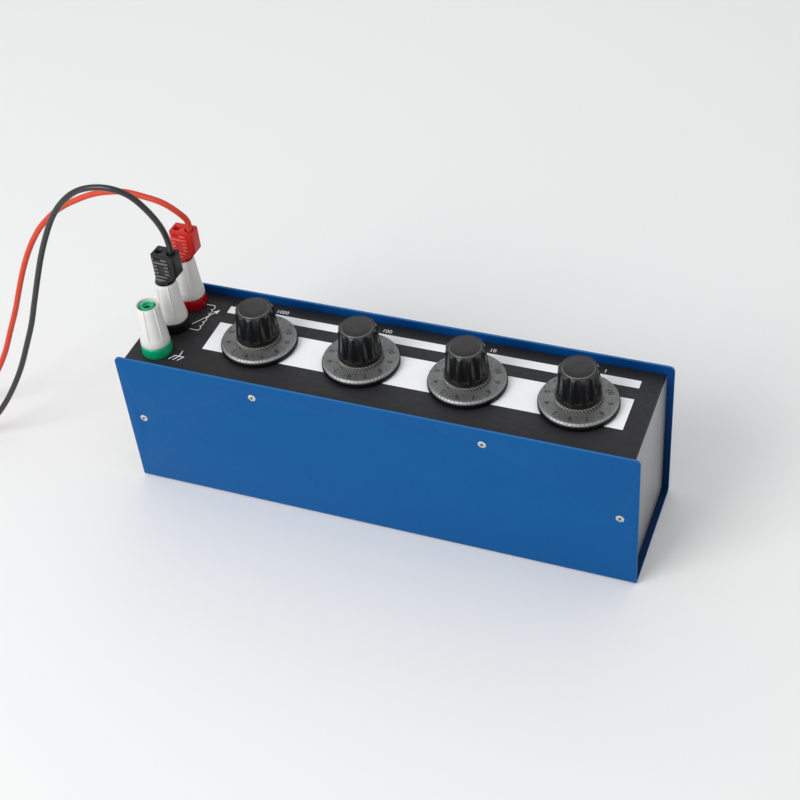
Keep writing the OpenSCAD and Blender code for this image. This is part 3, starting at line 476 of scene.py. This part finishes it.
BLACK_ROUTE = [(-136.963, 2.226, 152.2), (-136.963, 2.226, 164), (-138.5, -0.2, 177.2), (-143.7, -3, 190),
               (-152.5, -4.4, 199.4), (-163.5, -6.4, 203.9), (-175.8, -7.7, 203.2), (-187.4, -8.4, 198.4),
               (-198, -9.4, 189.4), (-206.4, -10.4, 178.4), (-213.8, -11.5, 164.5), (-221, -13, 148),
               (-227, -15, 131), (-233, -17, 113), (-239, -19, 95), (-246, -22, 77), (-253, -25, 60),
               (-261, -29, 44), (-271, -33, 28), (-282, -37, 15), (-295, -40, 7), (-307, -42, 3.1)]
RED_ROUTE = [(-136.951, 27.166, 152.2), (-136.951, 27.166, 162), (-141.1, 22.9, 172), (-148.5, 20.6, 178.4),
             (-159.5, 19.6, 181.4), (-171.8, 19.3, 182.7), (-184.4, 19.6, 180.4), (-197, 19.9, 176.1),
             (-209.4, 18.7, 170.3), (-220.7, 17.3, 163.7), (-231, 16, 155), (-240, 14, 145),
             (-248, 11, 132), (-255, 8, 117), (-261, 5, 101), (-267, 2, 84), (-274, -1, 67),
             (-281, -4, 50), (-289, -7, 35), (-299, -10, 21), (-310, -12, 11), (-323, -14, 5),
             (-335, -14.7, 2.6)]
BLACK_TAIL = [(-341.5, -46.1, 5.7), (-349, -46, 5.8), (-357, -46, 5.8)]
RED_TAIL = [(-369.5, -10.9, 5.7), (-378, -11, 5.8), (-386, -11, 5.8)]
BLACK_COIL, RED_COIL = (-322, -68), (-350, 11)
# Thickness of a coil's ties
TIE = 0.3


def coil_turns(centre, start, way):
    """A round coil: three turns spiral in on the bench, the lead climbs, and two spiral out on top."""
    pitch, low, step = LEAD_D + 0.2, LEAD_D / 2 + TIE + 0.05, 12
    outer = COIL_R + 1.5 * pitch - 0.1
    points = []
    for k in range(5 * 360 // step + 1):
        turns = k * step / 360
        r = outer - pitch * turns if turns < 3 else outer - 3 * pitch + pitch * (turns - 3)
        a = math.radians(start + way * turns * 360)
        points.append((centre[0] + r * math.cos(a), centre[1] + r * math.sin(a),
                       low + LEAD_D * ease(turns, 2.8, 3.1)))
    return points


def smooth_line(points, spacing):
    """A curve through the points, with a point about every spacing."""
    p = [Vector(q) for q in points]
    p = [2 * p[0] - p[1]] + p + [2 * p[-1] - p[-2]]
    line = []
    for a, b, c, d in zip(p, p[1:], p[2:], p[3:]):
        count = max(1, round((c - b).length / spacing))
        for k in range(count):
            t = k / count
            line.append(0.5 * (2 * b + (c - a) * t + (2 * a - 5 * b + 4 * c - d) * t * t
                               + (3 * b - a - 3 * c + d) * t ** 3))
    return line + [p[-2]]


def lead_mesh(name, line, radius):
    """A tube along the line, made a mesh."""
    curve = bpy.data.curves.new(name, "CURVE")
    curve.dimensions = "3D"
    curve.bevel_depth, curve.bevel_resolution, curve.use_fill_caps = radius * MM, 5, True
    spline = curve.splines.new("POLY")
    spline.points.add(len(line) - 1)
    for point, place in zip(spline.points, line):
        point.co = (*(place * MM), 1)
    holder = bpy.data.objects.new(name + "_line", curve)
    mesh = bpy.data.meshes.new_from_object(holder)
    bpy.data.objects.remove(holder)
    bpy.data.curves.remove(curve)
    mesh.name = name
    return mesh


def coil_tie(colour, centre, angle):
    """A narrow band round the bundle of turns."""
    inner, outer, top, width = COIL_R - 8.3, COIL_R + 8, 2 * LEAD_D + TIE + 0.2, 3
    bm = bmesh.new()
    section = ((inner, 0), (outer, 0), (outer, top), (inner, top))
    loop = [bm.verts.new((x, -width / 2, z)) for x, z in section]
    edges = [bm.edges.new((a, b)) for a, b in zip(loop, loop[1:] + loop[:1])]
    swept = bmesh.ops.extrude_edge_only(bm, edges=edges)["geom"]
    far_side = [v for v in swept if isinstance(v, bmesh.types.BMVert)]
    bmesh.ops.translate(bm, vec=(0, width, 0), verts=far_side)
    corners = [e for e in bm.edges if abs(e.verts[0].co.y - e.verts[1].co.y) > 1]
    bmesh.ops.bevel(bm, geom=corners, offset=1.7, offset_type="OFFSET", segments=5, affect="EDGES",
                    profile=0.5, material=-1)
    bmesh.ops.recalc_face_normals(bm, faces=bm.faces)
    bmesh.ops.solidify(bm, geom=bm.faces, thickness=TIE)
    bmesh.ops.rotate(bm, matrix=Matrix.Rotation(math.radians(angle), 3, "Z"), verts=bm.verts)
    lowest = min(v.co.z for v in bm.verts)
    bmesh.ops.translate(bm, vec=(centre[0], centre[1], 0.02 - lowest), verts=bm.verts)
    return finished(bm, f"{colour}_lead_tie_{angle}", [M["tie"]], colour + "_clamp")


def make_lead(colour, route, centre, start, way, tail):
    line = smooth_line(route + coil_turns(centre, start, way) + tail, 1.6)
    name = colour + "_test_lead"
    mesh = lead_mesh(name, line, LEAD_D / 2)
    mesh.shade_smooth()
    mesh.set_sharp_from_angle(angle=SMOOTH_ANGLE)
    mesh.materials.append(M["lead_" + colour])
    piece = bpy.data.objects.new(name, mesh)
    bpy.context.scene.collection.objects.link(piece)
    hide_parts(colour + "_lead", colour + "_coil")
    length = sum((b - a).length for a, b in zip(line, line[1:])) * MM
    print(name, "length", round(length, 4), "m")
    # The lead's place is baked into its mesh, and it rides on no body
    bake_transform(piece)
    ties = [coil_tie(colour, centre, angle) for angle in (200, 330)]


# Case

def make_case():
    cover = copied("outer_cover", [M["blue"], M["blue_painted_shade"], M["blue_painted_highlight"]], 0.3)
    # Inward faces and the floor take the copy darkened with painted shade
    for face in cover.data.polygons:
        inward = face.normal.y * face.center.y < -0.6 * abs(face.center.y)
        if inward or face.normal.z > 0.6 and face.center.z < 10 * MM:
            face.material_index = 1
        # Top and end faces take the lighter copy, a painted highlight
        elif face.normal.z > 0.6 or abs(face.normal.x) > 0.6:
            face.material_index = 2
    copied("chassis", [M["end"]], 0.3)
    copied("panel_overlay", [M["film"]], 0.1)
    screws = copied("cover_screws", [M["nickel"], M["recess"]], 0.06)
    # The faces inside the cross recesses, below the heads' surface, take the painted shade
    second_finish(screws, lambda face: abs(face.center.y) < (BOX_D / 2 - 0.1) * MM)


def plate(bm, outline, z, thickness=0.06):
    """A thin flat shape on the panel."""
    face = bm.faces.new([bm.verts.new((x, y, z)) for x, y in outline])
    twice_area = sum(a[0] * b[1] - b[0] * a[1] for a, b in zip(outline, outline[1:] + outline[:1]))
    if twice_area < 0:
        face.normal_flip()
    top = bmesh.ops.extrude_face_region(bm, geom=[face])["geom"]
    raised = [v for v in top if isinstance(v, bmesh.types.BMVert)]
    bmesh.ops.translate(bm, vec=(0, 0, thickness), verts=raised)


def stroke(bm, points, width, z):
    """A drawn line of even width along the points, as one shape with square ends."""
    line = [Vector(p) for p in points]
    left, right = [], []
    for k, point in enumerate(line):
        along = (line[min(k + 1, len(line) - 1)] - line[max(k - 1, 0)]).normalized() * width / 2
        side = Vector((-along.y, along.x))
        end = -along if k == 0 else along if k == len(line) - 1 else Vector((0, 0))
        left.append(tuple(point + side + end))
        right.append(tuple(point - side + end))
    plate(bm, right + left[::-1], z)


def art(x, y):
    """A place on the panel's artwork, from its own drawing of 300 by 75 units."""
    return (x - 150) * 1.1, (y - 37.485) * 1.1


def box_outline(x0, y0, x1, y1):
    a, b = art(x0, y0), art(x1, y1)
    return [a, (b[0], a[1]), b, (a[0], b[1])]


# The print starts just inside the panel; strokes that cross lie a small step above each other
PRINT_Z, STEP = PANEL_Z - 0.02, 0.004
STROKE = 0.52


def chassis_symbol(bm):
    """By the green terminal: a stem on a bar with three slanted feet."""
    stroke(bm, [art(32.1, 20.4), art(32.1, 16.4)], STROKE, PRINT_Z)
    stroke(bm, [art(29.5, 16.0), art(35.0, 16.0)], STROKE, PRINT_Z + STEP)
    for x in (29.5, 32.1, 34.8):
        stroke(bm, [art(x, 15.8), art(x - 2.1, 12.6)], STROKE, PRINT_Z)


def inductor_symbol(bm):
    """Between the other two terminals: six bumps with an arrow across them."""
    low, high, left, bumps, bulge = 39.65, 62.5, 31.6, 6, 1.3
    for y in (high, low):
        stroke(bm, [art(27.1, y), art(left, y)], STROKE, PRINT_Z)
    chord = (high - low) / bumps
    for k in range(bumps):
        turn = []
        for t in range(13):
            a = math.pi * t / 12
            turn.append(art(left + bulge * math.sin(a), low + chord * (k + 0.5 - 0.5 * math.cos(a))))
        stroke(bm, turn, STROKE, PRINT_Z + STEP * (1 + k % 2))
    stroke(bm, [art(26.6, 44.1), art(34.9, 56.4)], STROKE, PRINT_Z + 3 * STEP)
    back, tip, side = Vector(art(35.1, 56.7)), Vector(art(36.9, 59.7)), Vector((1.43, -0.77))
    plate(bm, [tuple(back + side), tuple(tip), tuple(back - side)], PRINT_Z + 4 * STEP)


def make_artwork():
    bm = bmesh.new()
    plate(bm, box_outline(41.9, 25.5, 284.3, 49.65), PRINT_Z)
    plate(bm, box_outline(41.7, 58.7, 284.5, 64.7), PRINT_Z)
    chassis_symbol(bm)
    inductor_symbol(bm)
    finished(bm, "panel_artwork", [M["print"]], "case")


# How deep a printed number is, and the share of its type's size that it is high
PRINT_DEPTH, FIGURE_SHARE = 0.05, 0.7


def letters(text, height, place, turn=0, radius=0, bold=0.0):
    """A short number in the plain built-in type, laid flat at a place or turned round a dial."""
    data = bpy.data.curves.new("number", "FONT")
    data.body, data.size = text, height / FIGURE_SHARE
    data.align_x, data.align_y = "CENTER", "CENTER"
    data.extrude, data.offset, data.resolution_u = PRINT_DEPTH / 2, bold, 3
    holder = bpy.data.objects.new("number", data)
    bm = bmesh.new()
    bm.from_mesh(bpy.data.meshes.new_from_object(holder))
    bpy.data.objects.remove(holder)
    bmesh.ops.remove_doubles(bm, verts=bm.verts, dist=1e-3)
    turned = Matrix.Rotation(math.radians(turn), 4, "Z") @ Matrix.Translation((0, radius, 0))
    bmesh.ops.transform(bm, matrix=Matrix.Translation(place) @ turned, verts=bm.verts)
    return bm


def joined(bm, part):
    """Adds one mesh to another."""
    holder = bpy.data.meshes.new("part")
    part.to_mesh(holder)
    part.free()
    bm.from_mesh(holder)
    bpy.data.meshes.remove(holder)


def make_decade_numbers():
    """The weight of each decade, in plain numbers above its dial."""
    bm = bmesh.new()
    for text, across in (("1000", 73.4), ("100", 138), ("10", 200.5), ("1", 264)):
        joined(bm, letters(text, 3.0, (*art(across, 67.4), PANEL_Z + 0.02)))
    finished(bm, "panel_numbers", [M["print"]], "case")


# Dials, with profiles as (radius, height above the panel)

# The knob's seat, the plate's face, and the radius where the face's bevel starts
SEAT, FACE_Z, BEVEL_R = 7.9, 5.2, 22.3
# A knurl leans by KNURL_LEAN radians of its wave in each millimetre of height
KNURLS, KNURL_DEPTH, KNURL_LEAN = 44, 0.25, 2.2
DIAL_NUMBERS, NUMBER_STEP, NUMBER_R = 11, 30, 18.6
DIAL_MARKS = 60
# The knob's radius at its plain band and at its top, the band's height and the whole height
KNOB_R, KNOB_TOP_R, KNOB_BAND, KNOB_H = 13.4, 11.8, 2.7, 20.1
KNOB_FLUTES = 12
# How far each knob's flutes are turned, in degrees
KNOB_PHASES = (21.5, 17.5, 15, 14.5)


def make_dial_plate(i, axis, body):
    """The spun aluminium plate: a flat face and a bevelled rim."""
    profile = [(5.8, 7.85), (13.2, 7.85), (13.2, 5.3), (13.75, FACE_Z)]
    profile += rows((14.2, FACE_Z), (22.2, FACE_Z), 6) + [(BEVEL_R, 5.17), (22.42, 5.08)]
    profile += [*rows((22.5, 5.0), (23.3, 4.2), 2)[1:], (23.38, 4.09), (23.4, 3.95)]
    profile += [(23.4, 3.25), (22.5, 3.25), (22.5, 3.0), (21.5, 4.2), (12.85, 4.2), (12.65, 6.9)]
    profile += [(5.8, 6.9)]
    piece = finished(spin_profile(profile, axis, 144), f"dial_plate_{i}_spun", [M["spun"], M["rim"]], body,
                     [f"dial_plate_{i}"], angle=math.radians(25))
    store_axis(piece, axis)

    def on_rim(face):
        reach = math.hypot(face.center.x - axis.x * MM, face.center.y - axis.y * MM)
        return reach > (BEVEL_R + 0.2) * MM and face.normal.z > -0.5
    # The bevel's faces take the lighter rim finish, partly a painted highlight
    second_finish(piece, on_rim)


def make_dial_skirt(i, axis, body):
    """The black skirt under the rim."""
    skirt = [(22.5, 3.25), (23.7, 3.25), (23.88, 3.16), (23.95, 2.95), (23.95, 0.85), (23.85, 0.7),
             (22.5, 0.7)]
    finished(spin_profile(skirt, axis, 144), f"dial_edge_{i}", [M["skirt"]], body)


def make_dial_knurl(i, axis, body):
    """The bright knurled ring that the knob stands on."""
    ring = [(13.2, 5.22), (13.75, 5.2)] + rows((KNURL_R, 5.3), (KNURL_R, 7.5), 9)
    ring += [(13.6, 7.76), (13.2, 7.86)]
    bm = spin_profile(ring, axis, KNURLS * 14)
    for vertex in bm.verts:
        x, y, z = vertex.co - axis
        r = math.hypot(x, y)
        grip = math.sin(KNURLS * math.atan2(y, x) + KNURL_LEAN * (z - 5.3))
        change = 1 + KNURL_DEPTH * grip * ease(r, 13.2, 13.6) / r
        vertex.co.x, vertex.co.y = axis.x + x * change, axis.y + y * change
    store_axis(finished(bm, f"dial_knurl_{i}", [M["knurl"]], body, angle=math.radians(80)), axis)


def make_dial_print(i, axis, body):
    """The numbers 0 to 10 on the face and the marks on the bevel."""
    bm = bmesh.new()
    for n in range(DIAL_NUMBERS):
        on_face = axis + Vector((0, 0, FACE_Z + 0.02))
        joined(bm, letters(str(n), 3.5, on_face, turn=NUMBER_STEP * n, radius=NUMBER_R, bold=0.1))
    for n in range(DIAL_MARKS):
        mark = bmesh.new()
        plate(mark, [(-0.14, 0.2), (0.14, 0.2), (0.14, 1.3), (-0.14, 1.3)], -0.01, 0.05)
        bmesh.ops.rotate(mark, matrix=Matrix.Rotation(math.radians(-45), 3, "X"), verts=mark.verts)
        bmesh.ops.translate(mark, vec=(0, BEVEL_R, FACE_Z), verts=mark.verts)
        turn_piece(mark, (0, 0, 0), n * 360 / DIAL_MARKS)
        bmesh.ops.translate(mark, vec=axis, verts=mark.verts)
        joined(bm, mark)
    finished(bm, f"dial_numbers_{i}", [M["ink"]], body)


def make_knob(i, axis, body):
    """A fluted knob over a plain band, and the flat cap let into its top."""
    band, top = SEAT + KNOB_BAND, SEAT + KNOB_H
    side_at, foot = slope_between((KNOB_R, band), (KNOB_TOP_R, top)), band + 0.3
    levels = (band, foot - 0.02, foot + 0.12, foot + 0.25, foot + 0.4, *range(13, 26, 2), 26.4)
    profile = [(3.02, 5.3), (5.6, 5.3), (5.6, SEAT), (12.95, SEAT), (13.25, SEAT + 0.12)]
    profile += [(KNOB_R, SEAT + 0.4)] + [(side_at(z), z) for z in levels]
    profile += rows((KNOB_TOP_R, top - 1.2), (10.95, top - 0.12), 5)
    profile += [(10.8, top), (10.45, top), (10.2, top - 0.08), (10.1, top - 0.3),
                (10.1, top - 1.5), (6, top - 1.5), (6, top - 4.6), (3.02, top - 4.6)]
    bm = spin_profile(profile, axis, KNOB_FLUTES * 20)
    flute(bm, axis, KNOB_FLUTES, side_at, floor_at=lambda z: side_at(z) - 1, cut_r=4.4, foot=foot, run=0.4)
    turn_piece(bm, axis, KNOB_PHASES[i - 1])
    knob = finished(bm, f"knob_{i}_fluted", [M["knob"], M["knob_ring"]], body, [f"knob_{i}"])
    # Upward faces near the top take the painted sheen
    second_finish(knob, lambda face: face.normal.z > 0.35 and face.center.z > (PANEL_Z + top - 1.3) * MM)
    cap = [(0, top - 3.6), (5.95, top - 3.6), (5.95, top - 1.5), (9.75, top - 1.5), (9.85, top - 1.4),
           (9.85, top - 0.1), (9.8, top), (9.45, top + 0.33), (9.3, top + 0.38), (4, top + 0.38),
           (0, top + 0.38)]
    bm = spin_profile(cap, axis, 96, closed=False)
    piece = finished(bm, f"knob_cap_{i}_finished", [M["cap"], M["cap_edge"]], body, [f"knob_cap_{i}"])
    # The chamfer round the cap takes the painted highlight
    second_finish(piece, lambda face: 0.2 < face.normal.z < 0.95)


def make_dial(i):
    axis, body = dial_axis(i), f"dial_{i}"
    make_dial_plate(i, axis, body)
    make_dial_skirt(i, axis, body)
    make_dial_knurl(i, axis, body)
    make_dial_print(i, axis, body)
    make_knob(i, axis, body)


# Terminals, with profiles as (radius, height above the panel)

HEAD_RIDGES = 6
# How far each head's ridges are turned, in degrees
HEAD_PHASES = (37, 8, 10)


def make_terminal(i, colour):
    """A coloured collar on the panel, the ridged clamp head, the ring in its mouth and the washer."""
    axis, body = post_axis(i), colour + "_thumb_nut"
    collar = [(3.95, -1.9), (5.9, -1.9), (5.9, 0), (9.1, 0), (9.4, 0.12), (9.6, 0.5), (9.3, 6.3),
              (9.22, 6.62), (9.05, 6.9), (8.8, 7.16), (8.5, 7.3), (3.95, 7.3)]
    finished(spin_profile(collar, axis, 96), colour + "_collar_finished", [M[colour]], "case",
             [colour + "_collar"])
    side_at = slope_between((9.2, 8.1), (7.3, 35.0))
    head = [(6.3, 7.6), (8.8, 7.6), (9.1, 7.75)]
    head += [(side_at(z), z) for z in (8.1, 9.4, 10.1, *range(11, 20))]
    head += rows((side_at(20), 20), (7.3, 35.0), 7)
    head += [(7.15, 35.25), (6.95, 35.45), (6.9, 35.6), (6.9, 36.1), (6.8, 36.3), (6.6, 36.4), (6.35, 36.4),
             (6.15, 36.25), (6.1, 36.0), (6.05, 34.3), (5.75, 34.1), (5.75, 32.9), (4.2, 32.9), (4.2, 8.8),
             (6.3, 8.8)]
    bm = spin_profile(head, axis, HEAD_RIDGES * 40)
    ridge(bm, axis, HEAD_RIDGES, height=0.5, half_turn=6, foot=10.1, run=6, bore=6.85)
    turn_piece(bm, axis, HEAD_PHASES[i])
    finished(bm, colour + "_head_fluted", [M["white"]], body, [colour + "_head"])
    insert = [(2.5, 32.9), (5.7, 32.9), (5.7, 33.6), (5.55, 33.7), (5.2, 33.4), (4.15, 33.3), (4.0, 35.6),
              (3.9, 35.85), (3.65, 35.95), (3.3, 35.95), (3.05, 35.8), (2.95, 35.5), (2.9, 34.2),
              (2.5, 33.9)]
    finished(spin_profile(insert, axis, 72), colour + "_insert_finished", [M[colour + "_insert"]],
             body, [colour + "_insert"])
    copied(colour + "_clamp_washer", [M["nickel"]], 0.15)


# Plugs, measured from the middle of the foot: side, out to the front, and height

# Height of a plug's foot above the panel, and where its lead enters: to the side, and height
PLUG_Z = 36.5
LEAD_SIDE, LEAD_FLOOR = 8.5, 19.3
# The shoulder slopes up from the foot's edge, by SHOULDER_RISE over SHOULDER_RUN, and is lowered
FOOT_SIDE, FOOT_HEIGHT = 5.2, 2.5
SHOULDER_RUN, SHOULDER_RISE, SHOULDER_DROP = 6.4, 7.3, 3
# The flat front that carries the ribs; RIB_FOOT is the lower edge of the top rib
PLUG_FRONT = 5
RIB_PITCH, RIB_FOOT, RIB_GROWTH = 2.6, 19.6, 0.45


def mend_plug(origin, right, front, up):
    """Returns what makes a plug's ribs taller and its shoulder lower, where the plug stands."""
    def mend(bm):
        for vertex in bm.verts:
            place = vertex.co - origin
            side, out, height = place.dot(right), place.dot(front), place.dot(up)
            along = (side - FOOT_SIDE) / SHOULDER_RUN
            from_slope = height - FOOT_HEIGHT - along * SHOULDER_RISE
            on_slope = side > FOOT_SIDE + 0.05 and abs(from_slope) < 0.15
            from_rib = abs((height - RIB_FOOT + RIB_PITCH / 2) % RIB_PITCH - RIB_PITCH / 2)
            if on_slope or side > 11.5 and height < 10.9:
                vertex.co -= up * SHOULDER_DROP * min(1, along)
            elif out > PLUG_FRONT + 0.2 and from_rib < 0.1:
                vertex.co -= up * RIB_GROWTH
    return mend


def dress_plug(node, colour, origin, right, front, up):
    """A plug's housing, whose raised rib faces get the lighter second finish, a painted highlight."""
    finishes = [M["plug_" + colour], M["rib_" + colour]]
    piece = copied(node, finishes, 0.12, mend=mend_plug(origin, right, front, up))

    def on_rib(face):
        place = Vector(face.center) / MM - origin
        raised = place.dot(front) > PLUG_FRONT + 0.12 and place.dot(up) > 3
        return raised and Vector(face.normal).dot(front) > 0.6
    second_finish(piece, on_rib)


def make_plugs(colour, i, turn, tail, flip):
    """The plug in terminal i, turned as the lead pulls it, and the far plug that lies at the tail's end."""
    angle = math.radians(turn)
    right, up = Vector((math.cos(angle), math.sin(angle), 0)), Vector((0, 0, 1))
    front, origin = Vector((right.y, -right.x, 0)), post_axis(i) + up * PLUG_Z
    dress_plug(colour + "_plug", colour, origin, right, front, up)
    copied(colour + "_plug_pin", [M["gold"]], 0.1)
    right, front, up = Vector((0, flip, 0)), Vector((0, 0, -1)), Vector((1, 0, 0))
    origin = Vector(tail[-1]) - right * LEAD_SIDE - up * LEAD_FLOOR
    dress_plug(colour + "_far_plug", colour, origin, right, front, up)


# Inside

INSIDE = {
    "zinc": ("clinch_nuts", "switch_frames", "switch_spacers", "tie_bolts", "board_screws"),
    "nickel": ("panel_nuts", "board_pillars", "post_nuts", *(f"switch_shaft_{i}" for i in DIALS)),
    "silver": ("wafer_contacts", "solder_tags"),
    "gold": ("post_stems", "far_plug_pins"),
    "wafer": ("switch_wafers",),
    "board": ("coil_board",),
    "ferrite": ("pot_cores",),
    "winding": ("coil_windings",),
    "wire": ("link_wires",),
    "insulator": ("post_insulators",),
}


def paint_inside():
    """Gives the nodes that keep their own mesh their finishes."""
    for finish, nodes in INSIDE.items():
        for node in nodes:
            mesh = frame["nodes"][node].data
            mesh.materials.clear()
            mesh.materials.append(M[finish])


# Scene

def make_floor():
    bm = bmesh.new()
    bmesh.ops.create_grid(bm, x_segments=1, y_segments=1, size=4)
    mesh = bpy.data.meshes.new("floor")
    bm.to_mesh(mesh)
    bm.free()
    floor = bpy.data.objects.new("floor", mesh)
    bpy.context.scene.collection.objects.link(floor)
    finish = Finish("pale_floor", (0.87, 0.87, 0.865), 0.55)
    finish.rough(finish.noise(60, 3), 0.5, 0.6)
    mesh.materials.append(finish.material)


def area_lamp(name, place, target, size, power):
    data = bpy.data.lights.new(name, "AREA")
    data.shape, data.size, data.size_y = "RECTANGLE", *size
    data.energy = power
    lamp = bpy.data.objects.new(name, data)
    lamp.location = place
    lamp.rotation_mode = "QUATERNION"
    lamp.rotation_quaternion = (Vector(target) - Vector(place)).to_track_quat("-Z", "Y")
    bpy.context.scene.collection.objects.link(lamp)


def make_light():
    world = bpy.data.worlds.new("studio")
    bpy.context.scene.world = world
    world.use_nodes = True
    sky = world.node_tree.nodes["Background"].inputs
    sky["Color"].default_value = (0.98, 0.99, 1, 1)
    sky["Strength"].default_value = 0.68
    area_lamp("key", place=(-1.0, -1.6, 1.5), target=(0, 0, 0.05), size=(1.4, 1.4), power=33)
    area_lamp("back", place=(-0.3, 1.4, 1.2), target=(0, 0, 0.1), size=(1.4, 0.6), power=1.5)
    bpy.context.scene.view_settings.view_transform = "Standard"


make_camera()
make_plugs("black", 1, -3.2, BLACK_TAIL, -1)
make_plugs("red", 2, -0.9, RED_TAIL, 1)
make_lead("black", BLACK_ROUTE, BLACK_COIL, 90, 1, BLACK_TAIL)
make_lead("red", RED_ROUTE, RED_COIL, -90, -1, RED_TAIL)
make_case()
make_artwork()
make_decade_numbers()
for i in DIALS:
    make_dial(i)
for i, colour in enumerate(COLOURS):
    make_terminal(i, colour)
paint_inside()
make_floor()
make_light()
